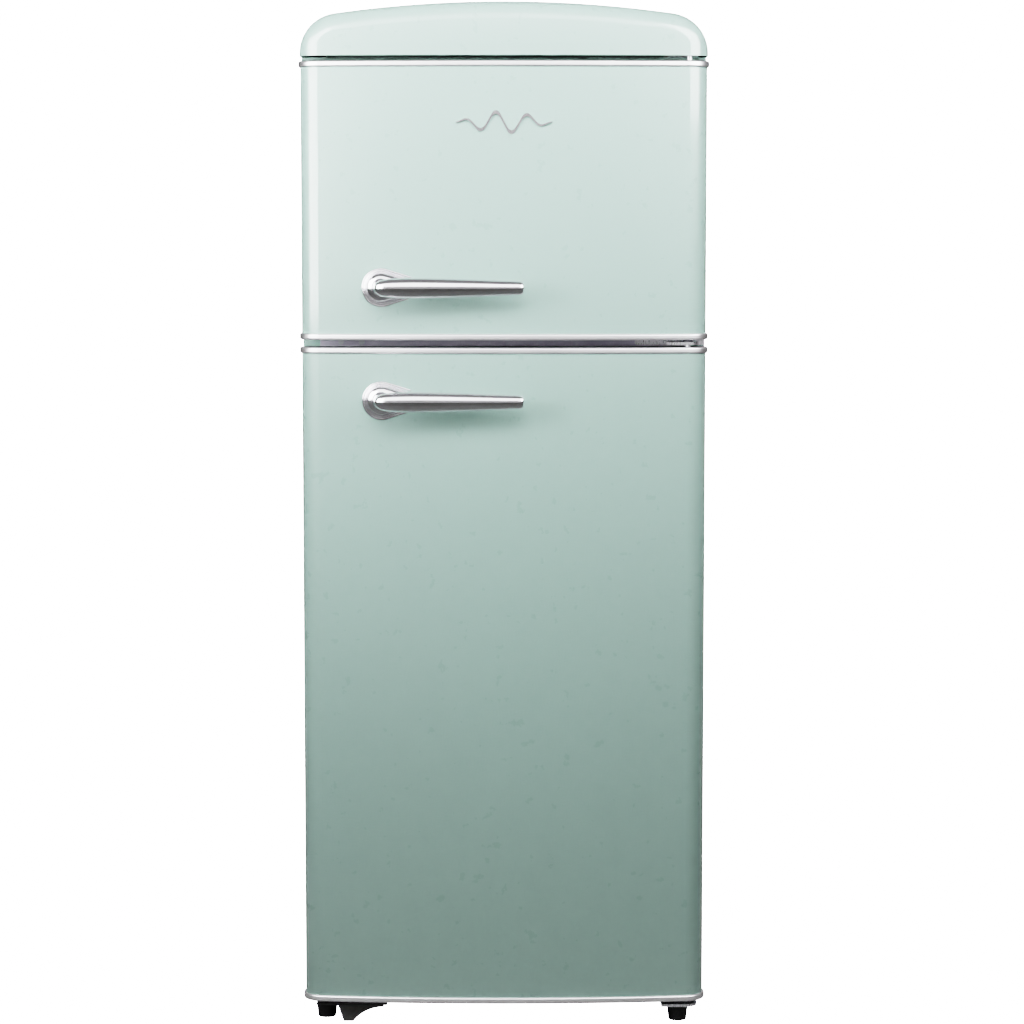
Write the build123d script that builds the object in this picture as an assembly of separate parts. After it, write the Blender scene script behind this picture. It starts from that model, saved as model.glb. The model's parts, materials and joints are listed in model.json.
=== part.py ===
"""Retro two-door refrigerator with the freezer on top, one STEP file per sub-part.

Millimetres. +Z is up, +X is right and the doors face -Y. The origin is on the floor, at the
centre of the overall outline in X and Y.
"""
from build123d import *
from math import acos, asin, cos, pi, sin, sqrt
import os

# ---- Overall layout -----------------------------------------------------------------------
CABINET_HALF = 299.0        # half width of the cabinet and of the door skins
CABINET_FRONT = -213.5
CABINET_REAR = 302.5
CABINET_BOTTOM = 42.0
CABINET_TOP = 1440.0
OVERALL_FRONT = -332.5      # foremost point of the levers
OVERALL_REAR = 332.5        # wall spacers of the condenser
SHEET = 1.0                 # painted sheet steel
PAN = 1.5                   # galvanised base sheet
LINER = 2.0                 # vacuum-formed plastic
FIT = 0.05                  # radial clearance of a running fit
SEAT = 0.02                 # radial clearance of a fixed pin or screw
BODY_GAP = 0.3              # clearance between faces that slide or turn past each other

# ---- Compartments -------------------------------------------------------------------------
WALL = 48.0                 # insulated side wall, liner included
REAR_WALL = 45.5            # from the cabinet's rear to the liner
OPENING_HALF = CABINET_HALF - WALL
FRIDGE_FLOOR, FRIDGE_CEILING = 90.0, 996.0      # outside of the liner
FREEZER_FLOOR, FREEZER_CEILING = 1046.0, 1394.0
LINER_REAR = CABINET_REAR - REAR_WALL
BAY_FRONT, BAY_TOP = 121.0, 250.0               # compressor bay
BAY_HALF = OPENING_HALF - PAN
STEP_FRONT, STEP_TOP = 80.0, 290.0              # the liner's step over the bay
INNER_HALF = OPENING_HALF - LINER
INNER_REAR = LINER_REAR - LINER

# ---- Doors --------------------------------------------------------------------------------
DOOR_FRONT = -287.5         # crown of the bowed front
DOOR_REAR = -225.5
DOOR_BOW = 18.0             # rise of the bow over the full width
DOOR_CORNER = 30.0          # radius of the vertical front corners
BOW_RADIUS = (CABINET_HALF**2 + DOOR_BOW**2) / (2 * DOOR_BOW)
FRIDGE_DOOR = (33.0, 1014.6)
FREEZER_DOOR = (1025.3, 1433.0)
TRIM_HEIGHT = 9.5
TRIM_PROUD = 3.0
TRIM_SEAT = 1.5             # depth that a trim is let into the door
TRIM_REAR = -232.0
RETURN = 14.0               # rear return of the door skin
GASKET = 16.0               # width of the seal
GASKET_OUTER = 268.0
GASKET_REAR = CABINET_FRONT - 0.5
DYKE_HALF, DYKE_WIDTH, DYKE_REAR = 226.0, 22.0, -185.0
BIN_HALF = DYKE_HALF - DYKE_WIDTH
BIN_REAR = -135.0
BIN_WALL = 3.0

# ---- Hinges and mullion -------------------------------------------------------------------
PIVOT = (272.0, -256.0)
PIN_RADIUS = 4.0
PLATE = 4.0                 # hinge plate
LEG = 3.0                   # folded hinge leg and the top plate
MULLION_HALF = 274.0
MULLION_Z = (FRIDGE_DOOR[1] + FREEZER_DOOR[0]) / 2
BOTTOM_PLATE_Z = 24.8
SCREW_RADIUS, SCREW_HEAD, SCREW_HEAD_HEIGHT = 2.5, 4.2, 2.4

# ---- Feet and rollers ---------------------------------------------------------------------
LEFT_FOOT = (-268.0, -228.0)
RIGHT_FOOT = (261.5, -247.5)
FOOT_TOP = 23.0
FOOT_STEM = 4.0
ROLLER_X, ROLLER_Y, ROLLER_RADIUS, ROLLER_WIDTH = 230.0, 260.0, 20.0, 18.0

# ---- Top cap ------------------------------------------------------------------------------
CAP_PROUD = 1.0
CAP_APEX = 1519.0
CAP_CORNER = 60.0
CAP_CROWN = 1880.0
CAP_EDGE = 26.0
CAP_WALL = 2.5

# ---- Handles and badge --------------------------------------------------------------------
FREEZER_HANDLE_Z, FRIDGE_HANDLE_Z = 1102.5, 936.5
PLATE_X, PLATE_RADIUS = -180.0, 28.5
TIP_X, TIP_RADIUS = -110.0, 8.0
LEVER_OUTLINE = (           # x and half height of the lever, from its nose to its end
    (-188.5, 4.6), (-187.0, 7.0), (-184.0, 9.4), (-178.0, 11.8), (-166.0, 13.7), (-145.0, 14.7),
    (-120.0, 15.0), (-85.0, 14.2), (-40.0, 12.4), (0.0, 10.9), (25.0, 9.9), (27.6, 9.3), (29.0, 7.8),
)
LEVER_DEPTH = 0.7           # share of its height
LEVER_Y = OVERALL_FRONT + 15.0 * LEVER_DEPTH
NECK_RADIUS = 10.5
BADGE_HALF, BADGE_Z, BADGE_RISE = 70.0, 1343.0, 15.0

# ---- Inside fittings ----------------------------------------------------------------------
SHELF_HEIGHTS = (460.0, 630.0, 800.0)
COVER_GLASS_Z = STEP_TOP + LINER - 4.0
GLASS = 4.0
SHELF_FRONT, SHELF_REAR, SHELF_HALF = -110.0, 246.0, 245.0
LEDGE_INNER, LEDGE_HEIGHT = 241.0, 6.0
TRIM_HALF = 240.0
FREEZER_SHELF_Z = 1220.0
FRIDGE_BINS = ((126.0, 100.0), (400.0, 80.0), (650.0, 80.0))     # base height, depth of each bin
FREEZER_BINS = ((1084.0, 70.0), (1240.0, 70.0))
DRAWER_HALF, DRAWER_FRONT, DRAWER_REAR = 234.0, -112.0, 72.0
DRAWER_BOTTOM, DRAWER_TOP = 96.0, 278.0
RUNNER_INNER, RUNNER_OUTER = 180.0, 200.0
HOUSING = (-95.0, 95.0, -70.0, 130.0, 956.0, FRIDGE_CEILING - LINER)
LAMP_WELL = (-85.0, 5.0, -50.0, 110.0, 955.0, 990.0)
KNOB_X, KNOB_Z, KNOB_RADIUS, KNOB_DEPTH, KNOB_SHAFT = 50.0, 975.0, 17.0, 14.0, 3.0
SWITCH_X, SWITCH_Z, SWITCH_RADIUS = -155.0, 988.0, 3.0

# ---- Cooling circuit ----------------------------------------------------------------------
TRAY_TOP = 44.0
COMPRESSOR = (-70.0, 215.0, 78.0)               # centre x, centre y, radius
COMPRESSOR_BASE, COMPRESSOR_TOP = 58.0, 226.0
COIL_Y, COIL_TUBE = 317.0, 2.5
COIL_HALF, COIL_LOW, COIL_PITCH, COIL_RUNS = 200.0, 330.0, 60.0, 15
WIRE_RADIUS, WIRE_PITCH, WIRE_COUNT = 0.8, 17.0, 23
PIPE_X = 240.0                                  # pipe that rises to the coil


# ---- Small helpers ------------------------------------------------------------------------
def box(x0, x1, y0, y1, z0, z1):
    """A block between two opposite corners."""
    centre = Pos((x0 + x1) / 2, (y0 + y1) / 2, (z0 + z1) / 2)
    return centre * Box(x1 - x0, y1 - y0, z1 - z0)


def post(x, y, z0, z1, radius):
    """A round bar along Z."""
    return Pos(x, y, (z0 + z1) / 2) * Cylinder(radius, z1 - z0)


def bar_y(x, z, y0, y1, radius):
    """A round bar along Y."""
    return Pos(x, (y0 + y1) / 2, z) * Rot(90, 0, 0) * Cylinder(radius, y1 - y0)


def bar_x(y, z, x0, x1, radius):
    """A round bar along X."""
    return Pos((x0 + x1) / 2, y, z) * Rot(0, 90, 0) * Cylinder(radius, x1 - x0)


def frame_ring(half, z0, z1, width, y0, y1):
    """A rectangular ring standing in the XZ plane."""
    hole = box(-half + width, half - width, y0 - 1, y1 + 1, z0 + width, z1 - width)
    return box(-half, half, y0, y1, z0, z1) - hole


def save(shape, node):
    export_step(shape, f"parts/{node}.step")


def group(shapes):
    """Separate solids that share one node."""
    solids = [solid for shape in shapes for solid in shape.solids()]
    return Compound(children=solids)


# ---- Outlines -----------------------------------------------------------------------------
def door_outline(offset, rear):
    """Plan of a door: bowed front, rounded corners, straight sides; offset grows it outward."""
    half = CABINET_HALF + offset
    corner = DOOR_CORNER + offset
    bow = BOW_RADIUS + offset
    bow_y = DOOR_FRONT + BOW_RADIUS
    corner_x = half - corner
    corner_y = bow_y - sqrt((bow - corner) ** 2 - corner_x**2)
    turn = asin(corner_x / (bow - corner))
    middle = (turn + pi / 2) / 2
    touch = (bow * sin(turn), bow_y - bow * cos(turn))
    knee = (corner_x + corner * sin(middle), corner_y - corner * cos(middle))
    edges = [
        Line((-half, rear), (-half, corner_y)),
        ThreePointArc((-half, corner_y), (-knee[0], knee[1]), (-touch[0], touch[1])),
        ThreePointArc((-touch[0], touch[1]), (0, DOOR_FRONT - offset), touch),
        ThreePointArc(touch, knee, (half, corner_y)),
        Line((half, corner_y), (half, rear)),
        Line((half, rear), (-half, rear)),
    ]
    return make_face(edges)


def door_prism(offset, rear, z0, z1):
    """The door outline raised between two heights."""
    return extrude(Pos(0, 0, z0) * door_outline(offset, rear), z1 - z0, dir=(0, 0, 1))


def cap_profile(inset):
    """Front view of the cap: a shallow crown running into round shoulders."""
    half = CABINET_HALF + CAP_PROUD - inset
    corner = CAP_CORNER - inset
    crown = CAP_CROWN - inset
    crown_z = CAP_APEX - CAP_CROWN
    corner_x = half - corner
    corner_z = crown_z + sqrt((crown - corner) ** 2 - corner_x**2)
    turn = asin(corner_x / (crown - corner))
    middle = (turn + pi / 2) / 2
    touch = (crown * sin(turn), 0, crown_z + crown * cos(turn))
    knee = (corner_x + corner * sin(middle), 0, corner_z + corner * cos(middle))
    left_touch = (-touch[0], 0, touch[2])
    left_knee = (-knee[0], 0, knee[2])
    edges = [
        Line((-half, 0, CABINET_TOP), (-half, 0, corner_z)),
        ThreePointArc((-half, 0, corner_z), left_knee, left_touch),
        ThreePointArc(left_touch, (0, 0, CAP_APEX - inset), touch),
        ThreePointArc(touch, knee, (half, 0, corner_z)),
        Line((half, 0, corner_z), (half, 0, CABINET_TOP)),
        Line((half, 0, CABINET_TOP), (-half, 0, CABINET_TOP)),
    ]
    return make_face(edges)


def cap_block(inset, rear):
    """The cap as a full block, with its front upper edge rounded."""
    depth = rear - OVERALL_FRONT
    front_view = extrude(Pos(0, OVERALL_FRONT, 0) * cap_profile(inset), depth, dir=(0, 1, 0))
    block = front_view & door_prism(CAP_PROUD - inset, rear, CABINET_TOP, CAP_APEX + 1)
    side_end = CABINET_FRONT - 2 * DOOR_CORNER / 3 + 1
    front_edges = [
        edge for edge in block.edges()
        if edge.center().Z > CABINET_TOP + 15
        and (edge @ 0).Y < side_end
        and (edge @ 1).Y < side_end
        and abs((edge @ 0).X - (edge @ 1).X) > 1
    ]
    return fillet(front_edges, CAP_EDGE - inset)


def teardrop(radius, tip_radius, z):
    """Handle plate outline in the XZ plane: a round end tapering to a small round tip."""
    lean = acos((radius - tip_radius) / (TIP_X - PLATE_X))
    high = (PLATE_X + radius * cos(lean), 0, z + radius * sin(lean))
    low = (high[0], 0, z - radius * sin(lean))
    tip_high = (TIP_X + tip_radius * cos(lean), 0, z + tip_radius * sin(lean))
    tip_low = (tip_high[0], 0, z - tip_radius * sin(lean))
    edges = [
        ThreePointArc(high, (PLATE_X - radius, 0, z), low),
        Line(low, tip_low),
        ThreePointArc(tip_low, (TIP_X + tip_radius, 0, z), tip_high),
        Line(tip_high, high),
    ]
    return make_face(edges)


# ---- Screws -------------------------------------------------------------------------------
TOP_SCREWS = [(248.0, -195.0), (276.0, -195.0), (262.0, -160.0)]
MIDDLE_SCREWS = [203.0, 213.5]
BOTTOM_SCREWS = [(243.0, -185.0), (277.0, -185.0), (260.0, -160.0)]
LEFT_SCREWS = [(-205.0, -185.0), (-265.0, -185.0)]
TOP_SHAFT, MIDDLE_SHAFT, BOTTOM_SHAFT = 14.0, 16.0, 12.0
UNDER_PLATE_Z = CABINET_BOTTOM - LEG


def screw_shafts(clearance):
    """The shafts of all hinge and bracket screws, or their holes when a clearance is given."""
    radius = SCREW_RADIUS + clearance
    deep = 1.0 if clearance else 0.0
    top = CABINET_TOP + LEG
    shafts = [post(x, y, top - TOP_SHAFT - deep, top + deep, radius) for x, y in TOP_SCREWS]
    front = CABINET_FRONT - LEG
    for x in MIDDLE_SCREWS:
        shafts.append(bar_y(x, MULLION_Z, front - deep, front + MIDDLE_SHAFT + deep, radius))
    for x, y in BOTTOM_SCREWS + LEFT_SCREWS:
        end = UNDER_PLATE_Z + BOTTOM_SHAFT + deep
        shafts.append(post(x, y, UNDER_PLATE_Z - deep, end, radius))
    return shafts


def drilled(shape):
    """Cut the screw holes that cross this shape."""
    return shape - screw_shafts(SEAT)


def hinge_screws():
    heads = []
    top = CABINET_TOP + LEG
    for x, y in TOP_SCREWS:
        heads.append(post(x, y, top, top + SCREW_HEAD_HEIGHT, SCREW_HEAD))
    front = CABINET_FRONT - LEG
    for x in MIDDLE_SCREWS:
        heads.append(bar_y(x, MULLION_Z, front - SCREW_HEAD_HEIGHT, front, SCREW_HEAD))
    for x, y in BOTTOM_SCREWS + LEFT_SCREWS:
        heads.append(post(x, y, UNDER_PLATE_Z - SCREW_HEAD_HEIGHT, UNDER_PLATE_Z, SCREW_HEAD))
    shafts = screw_shafts(0.0)
    return group([head + shaft for head, shaft in zip(heads, shafts)])


# ---- Cabinet ------------------------------------------------------------------------------
def cabinet_shell():
    """Wrapped sheet: two sides, a top and the front flanges around both openings."""
    half, front, rear = CABINET_HALF, CABINET_FRONT, CABINET_REAR
    wrap = box(-half, half, front, rear, CABINET_BOTTOM, CABINET_TOP)
    wrap -= box(-half + SHEET, half - SHEET, front - 1, rear + 1, 0, CABINET_TOP - SHEET)
    flange = box(-half, half, front, front + SHEET, CABINET_BOTTOM, CABINET_TOP)
    for low, high in ((FRIDGE_FLOOR, FRIDGE_CEILING), (FREEZER_FLOOR, FREEZER_CEILING)):
        flange -= box(-OPENING_HALF, OPENING_HALF, front - 1, front + 2, low, high)
    flange -= mullion_blank()
    return drilled(wrap + flange)


def mullion_blank():
    front = CABINET_FRONT
    return box(-MULLION_HALF, MULLION_HALF, front, front + SHEET, FRIDGE_CEILING, FREEZER_FLOOR)


PLUG_X = (-243.0, -212.0)
PLUG_STEM, PLUG_HEAD = 3.0, 4.4


def mullion_bar():
    bar = mullion_blank()
    for x in PLUG_X:
        bar -= bar_y(x, MULLION_Z, CABINET_FRONT - 1, CABINET_FRONT + 3, PLUG_STEM + SEAT)
    return drilled(bar)


def hinge_hole_plugs():
    """Push-in plugs in the unused hinge holes at the left."""
    plugs = []
    for x in PLUG_X:
        head = bar_y(x, MULLION_Z, CABINET_FRONT - 1.2, CABINET_FRONT, PLUG_HEAD)
        plugs.append(head + bar_y(x, MULLION_Z, CABINET_FRONT, CABINET_FRONT + 6, PLUG_STEM))
    return group(plugs)


def back_panel():
    """Rear sheet, cut out over the compressor bay."""
    half = CABINET_HALF - SHEET
    rear = CABINET_REAR
    panel = box(-half, half, rear - SHEET, rear, CABINET_BOTTOM, CABINET_TOP - SHEET)
    return panel - box(-BAY_HALF, BAY_HALF, rear - 5, rear + 1, 0, BAY_TOP)


def base_pan():
    """Floor sheet that lines the front, the sides and the roof of the compressor bay."""
    half = CABINET_HALF - SHEET
    rear = CABINET_REAR - SHEET
    pan = box(-half, half, CABINET_FRONT + SHEET, rear, CABINET_BOTTOM, CABINET_BOTTOM + PAN)
    pan += box(-OPENING_HALF, OPENING_HALF, BAY_FRONT - PAN, rear, CABINET_BOTTOM, BAY_TOP + PAN)
    return drilled(pan - box(-BAY_HALF, BAY_HALF, BAY_FRONT, rear + 1, 0, BAY_TOP))


def cabinet_foam():
    """Insulation around both liners, as the slabs of each wall."""
    half = CABINET_HALF - SHEET
    front, rear = CABINET_FRONT + SHEET, CABINET_REAR - SHEET
    low, high = CABINET_BOTTOM + PAN, CABINET_TOP - SHEET
    slabs = []
    inner = OPENING_HALF
    slabs.append(box(-half, -inner, front, rear, low, high))
    slabs.append(box(inner, half, front, rear, low, high))
    slabs.append(box(-inner, inner, front, rear, FREEZER_CEILING, high))
    slabs.append(box(-inner, inner, front, LINER_REAR, FRIDGE_CEILING, FREEZER_FLOOR))
    slabs.append(box(-inner, inner, LINER_REAR, rear, STEP_TOP, FREEZER_CEILING))
    slabs.append(box(-inner, inner, front, STEP_FRONT, low, FRIDGE_FLOOR))
    slabs.append(box(-inner, inner, STEP_FRONT, BAY_FRONT - PAN, low, STEP_TOP))
    slabs.append(box(-inner, inner, BAY_FRONT - PAN, rear, BAY_TOP + PAN, STEP_TOP))
    holes = screw_shafts(SEAT)
    holes += [bar_y(x, MULLION_Z, front - 1, front + 6, PLUG_STEM + SEAT) for x in PLUG_X]
    return group([slab - holes for slab in slabs])


def ledges(z, rear, inner=LEDGE_INNER):
    """A pair of moulded shelf ledges with their tops at z."""
    right = box(inner, INNER_HALF, SHELF_FRONT, rear, z - LEDGE_HEIGHT, z)
    return [right, mirror(right, Plane.YZ)]


def fridge_liner():
    """Open-fronted tub with a step over the compressor bay, shelf ledges and drawer runners."""
    front = CABINET_FRONT
    tub = box(-OPENING_HALF, OPENING_HALF, front, LINER_REAR, STEP_TOP, FRIDGE_CEILING)
    tub += box(-OPENING_HALF, OPENING_HALF, front, STEP_FRONT, FRIDGE_FLOOR, FRIDGE_CEILING)
    top = FRIDGE_CEILING - LINER
    tub -= box(-INNER_HALF, INNER_HALF, front - 1, INNER_REAR, STEP_TOP + LINER, top)
    tub -= box(-INNER_HALF, INNER_HALF, front - 1, STEP_FRONT - LINER, FRIDGE_FLOOR + LINER, top)
    for z in SHELF_HEIGHTS:
        tub += ledges(z, SHELF_REAR)
    tub += ledges(COVER_GLASS_Z, STEP_FRONT - LINER)
    runner_top = DRAWER_BOTTOM - BODY_GAP
    runner = box(RUNNER_INNER, RUNNER_OUTER, DRAWER_FRONT, DRAWER_REAR, FRIDGE_FLOOR + LINER, runner_top)
    tub += [runner, mirror(runner, Plane.YZ)]
    return tub


def freezer_liner():
    front = CABINET_FRONT
    low, high = FREEZER_FLOOR, FREEZER_CEILING
    tub = box(-OPENING_HALF, OPENING_HALF, front, LINER_REAR, low, high)
    tub -= box(-INNER_HALF, INNER_HALF, front - 1, INNER_REAR, low + LINER, high - LINER)
    return tub + ledges(FREEZER_SHELF_Z, SHELF_REAR)


def top_cap():
    """Hollow crowned cover that stands on the cabinet and overhangs the doors."""
    cavity = cap_block(CAP_WALL, CABINET_REAR - CAP_WALL)
    return cap_block(0.0, CABINET_REAR) - cavity


# ---- Hinges -------------------------------------------------------------------------------
def hinge_tongue(x0, rear, z0, z1, reach):
    """Flat tongue that carries a hinge pin, rounded about the pivot."""
    x, y = PIVOT
    tongue = post(x, y, z0, z1, reach) + box(x0, x + reach, y, rear, z0, z1)
    tongue += box(x0, x, y - reach, y + 1, z0, z1)
    return tongue - post(x, y, z0 - 1, z1 + 1, PIN_RADIUS + SEAT)


def top_hinge_bracket():
    plate = hinge_tongue(238.0, -145.0, CABINET_TOP, CABINET_TOP + LEG, 13.0)
    return drilled(plate)


def middle_hinge_bracket():
    """Folded bracket between the doors, with a long leg that is rounded at its left end."""
    half_height = (FREEZER_DOOR[0] - FRIDGE_DOOR[1]) / 2 - 1.0
    front = CABINET_FRONT - LEG
    left = 199.0
    low, high = MULLION_Z - half_height, MULLION_Z + half_height
    leg = box(left, CABINET_HALF, front, CABINET_FRONT, low, high)
    leg += bar_y(left, MULLION_Z, front, CABINET_FRONT, half_height)
    low, high = MULLION_Z - PLATE / 2, MULLION_Z + PLATE / 2
    return drilled(leg + hinge_tongue(240.0, CABINET_FRONT, low, high, 14.0))


def under_bracket(x0, x1):
    """Plate under the base and the web that drops from it to the foot plate."""
    front = CABINET_FRONT
    plate = box(x0, x1, front, -145.0, UNDER_PLATE_Z, CABINET_BOTTOM)
    return plate + box(x0, x1, front, front + LEG, BOTTOM_PLATE_Z, CABINET_BOTTOM)


def bottom_hinge_bracket():
    top = BOTTOM_PLATE_Z + PLATE
    bracket = under_bracket(230.0, 290.0)
    bracket += hinge_tongue(236.0, CABINET_FRONT + LEG, BOTTOM_PLATE_Z, top, 18.0)
    bracket -= post(*RIGHT_FOOT, 0, top + 1, FOOT_STEM + FIT)
    return drilled(bracket)


def left_foot_bracket():
    top = BOTTOM_PLATE_Z + PLATE
    bracket = under_bracket(-282.0, -176.0)
    bracket += box(-282.0, -176.0, -264.0, CABINET_FRONT + LEG, BOTTOM_PLATE_Z, top)
    bracket -= post(*LEFT_FOOT, 0, top + 1, FOOT_STEM + FIT)
    return drilled(bracket)


def hinge_pins():
    x, y = PIVOT
    top = post(x, y, FREEZER_DOOR[1] - 14, CABINET_TOP + LEG, PIN_RADIUS)
    middle = post(x, y, FRIDGE_DOOR[1] - 13, FREEZER_DOOR[0] + 13, PIN_RADIUS)
    bottom = post(x, y, BOTTOM_PLATE_Z, FRIDGE_DOOR[0] + 14, PIN_RADIUS)
    return group([top, middle, bottom])


# ---- Feet and rollers ---------------------------------------------------------------------
def front_foot(place):
    """Levelling foot: a tapered head on a threaded stem."""
    x, y = place
    head = Pos(x, y, FOOT_TOP / 2) * Cone(13.5, 16.0, FOOT_TOP)
    head = fillet(head.edges().filter_by(GeomType.CIRCLE), 1.5)
    return head + post(x, y, FOOT_TOP, BOTTOM_PLATE_Z + PLATE, FOOT_STEM)


def foot_skid():
    """Fin under the left front corner; its right flank sweeps down in a hollow curve."""
    top, lip = BOTTOM_PLATE_Z, BOTTOM_PLATE_Z - 3.0
    edges = [
        Line((-250.0, 0, top), (-241.5, 0, 0)),
        Line((-241.5, 0, 0), (-227.0, 0, 0)),
        ThreePointArc((-227.0, 0, 0), (-206.5, 0, 16.1), (-181.0, 0, lip)),
        Line((-181.0, 0, lip), (-181.0, 0, top)),
        Line((-181.0, 0, top), (-250.0, 0, top)),
    ]
    return extrude(Pos(0, -262.0, 0) * make_face(edges), 16.0, dir=(0, 1, 0))


def rear_roller(side):
    x = side * ROLLER_X
    half = ROLLER_WIDTH / 2
    wheel = bar_x(ROLLER_Y, ROLLER_RADIUS, x - half, x + half, ROLLER_RADIUS)
    wheel = fillet(wheel.edges().filter_by(GeomType.CIRCLE), 2.0)
    return wheel - bar_x(ROLLER_Y, ROLLER_RADIUS, x - half - 1, x + half + 1, 4.0 + FIT)


def roller_bracket(side):
    """Two cheeks with outward flanges under the tray, and the riveted axle."""
    x = side * ROLLER_X
    y0, y1 = ROLLER_Y - 16, ROLLER_Y + 16
    cheek = box(x + 9.5, x + 12, y0, y1, 10, CABINET_BOTTOM)
    flange = box(x + 12, x + 26, y0, y1, CABINET_BOTTOM - 2.5, CABINET_BOTTOM)
    right = cheek + flange
    left = mirror(right, Plane.YZ.offset(x))
    return right + left + bar_x(ROLLER_Y, ROLLER_RADIUS, x - 14, x + 14, 4.0)


# ---- Cooling circuit ----------------------------------------------------------------------
def compressor_tray():
    return box(-BAY_HALF, BAY_HALF, BAY_FRONT, CABINET_REAR, CABINET_BOTTOM, TRAY_TOP)


GROMMET_SPOTS = [(dx, dy) for dx in (-85.0, 85.0) for dy in (-45.0, 45.0)]


def compressor():
    """Sealed oval pot on a foot plate with four lugs."""
    x, y, radius = COMPRESSOR
    middle = (COMPRESSOR_BASE + COMPRESSOR_TOP) / 2
    pot = Pos(x, y, middle) * Cylinder(radius, COMPRESSOR_TOP - COMPRESSOR_BASE)
    pot = fillet(pot.edges().filter_by(GeomType.CIRCLE), 34.0)
    seam = post(x, y, middle - 3, middle + 3, radius + 3)
    plate_z = COMPRESSOR_BASE - 2
    plate = box(x - 95, x + 95, y - 55, y + 55, plate_z, plate_z + 4)
    for dx, dy in GROMMET_SPOTS:
        plate -= post(x + dx, y + dy, plate_z - 1, plate_z + 5, 6.0)
    return pot + seam + plate


def compressor_grommets():
    x, y, _ = COMPRESSOR
    pads = []
    for dx, dy in GROMMET_SPOTS:
        pad = post(x + dx, y + dy, TRAY_TOP, COMPRESSOR_BASE - 2, 11.0)
        pads.append(pad + post(x + dx, y + dy, COMPRESSOR_BASE - 2, COMPRESSOR_BASE + 5, 6.0))
    return group(pads)


def compressor_relay_box():
    """Terminal box on the pot's right, with the gland where the mains cord enters."""
    x, y, radius = COMPRESSOR
    left = x + radius + 3
    cover = box(left, left + 42, y - 32, y + 32, 95, 185)
    gland = bar_y(left + 22, 112, y + 32, y + 50, 7.0)
    cover += gland
    return cover - bar_y(left + 22, 112, y + 36, y + 51, 4.0)


def tube(points, radius, bend):
    """Round pipe along straight runs joined by tangent arcs."""
    path = FilletPolyline(*points, radius=bend)
    start = Plane(origin=path @ 0, z_dir=path % 0)
    return sweep(start * Circle(radius), path=path)


def condenser_coil():
    """Serpentine tube on the back: level runs joined by half turns."""
    bend = COIL_PITCH / 2
    points = [(COIL_HALF, COIL_Y, COIL_LOW)]
    for run in range(COIL_RUNS):
        z = COIL_LOW + run * COIL_PITCH
        side = -1 if run % 2 == 0 else 1
        end = COIL_HALF + bend if run < COIL_RUNS - 1 else COIL_HALF
        points.append((side * end, COIL_Y, z))
        if run < COIL_RUNS - 1:
            points.append((side * end, COIL_Y, z + COIL_PITCH))
    return tube(points, COIL_TUBE, bend - 0.01)


def condenser_wires():
    """Cooling wires welded to both faces of the coil."""
    low = COIL_LOW - 8
    high = COIL_LOW + (COIL_RUNS - 1) * COIL_PITCH + 8
    wires = []
    for number in range(WIRE_COUNT):
        x = (number - (WIRE_COUNT - 1) / 2) * WIRE_PITCH
        for side in (-1, 1):
            y = COIL_Y + side * (COIL_TUBE + WIRE_RADIUS)
            wires.append(post(x, y, low, high, WIRE_RADIUS))
    return group(wires)


CLIP_X = 195.5


def condenser_clips():
    """Moulded stand-offs that hold the coil and keep the wall away."""
    clips = []
    for x in (-CLIP_X, CLIP_X):
        for run in (2, COIL_RUNS - 3):
            z = COIL_LOW + run * COIL_PITCH
            clip = box(x - 5, x + 5, CABINET_REAR, OVERALL_REAR, z - 8, z + 8)
            clips.append(clip - bar_x(COIL_Y, z, x - 6, x + 6, COIL_TUBE + SEAT))
    return group(clips)


def refrigerant_pipes():
    """Discharge, suction and liquid pipes of the compressor, the last one with its drier."""
    x, y, radius = COMPRESSOR
    discharge = [
        (x + 40, y + radius - 8, 120), (x + 40, 296, 120), (PIPE_X, 296, 120),
        (PIPE_X, COIL_Y, 120), (PIPE_X, COIL_Y, COIL_LOW), (COIL_HALF, COIL_Y, COIL_LOW),
    ]
    suction = [(x - radius + 8, y, 150), (-200, y, 150), (-200, 290, 150), (-200, 290, BAY_TOP)]
    liquid = [(-232, 290, BAY_TOP), (-232, 290, 110), (-232, 190, 110), (-232, 190, BAY_TOP)]
    pipes = [tube(discharge, COIL_TUBE, 9.0), tube(suction, 4.0, 14.0), tube(liquid, COIL_TUBE, 12.0)]
    drier = post(-232, 290, 150, 215, 8.0)
    pot = compressor()
    return group([pipes[0] - pot, pipes[1] - pot, pipes[2] + drier])


def drip_tray():
    """Evaporating tray over the compressor."""
    x, y, _ = COMPRESSOR
    tray = box(x - 70, x + 70, y - 60, y + 60, COMPRESSOR_TOP, COMPRESSOR_TOP + 18)
    return tray - box(x - 68, x + 68, y - 58, y + 58, COMPRESSOR_TOP + 2, COMPRESSOR_TOP + 19)


def evaporator(half, z0, z1):
    """Roll-bonded plate with raised channels, fixed to the rear of a compartment."""
    plate = box(-half, half, INNER_REAR - 3, INNER_REAR, z0, z1)
    channels = 7
    pitch = (z1 - z0) / channels
    for number in range(channels):
        z = z0 + pitch * (number + 0.5)
        plate += box(-half + 15, half - 15, INNER_REAR - 5, INNER_REAR - 3, z - 4, z + 4)
    return plate


# ---- Inside fittings ----------------------------------------------------------------------
def glass_panes():
    """Three shelf panes and the pane over the drawer."""
    panes = []
    for z in SHELF_HEIGHTS:
        panes.append(box(-SHELF_HALF, SHELF_HALF, SHELF_FRONT, SHELF_REAR, z, z + GLASS))
    cover_rear = STEP_FRONT - LINER
    z = COVER_GLASS_Z
    panes.append(box(-SHELF_HALF, SHELF_HALF, SHELF_FRONT, cover_rear, z, z + GLASS))
    return panes


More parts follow.
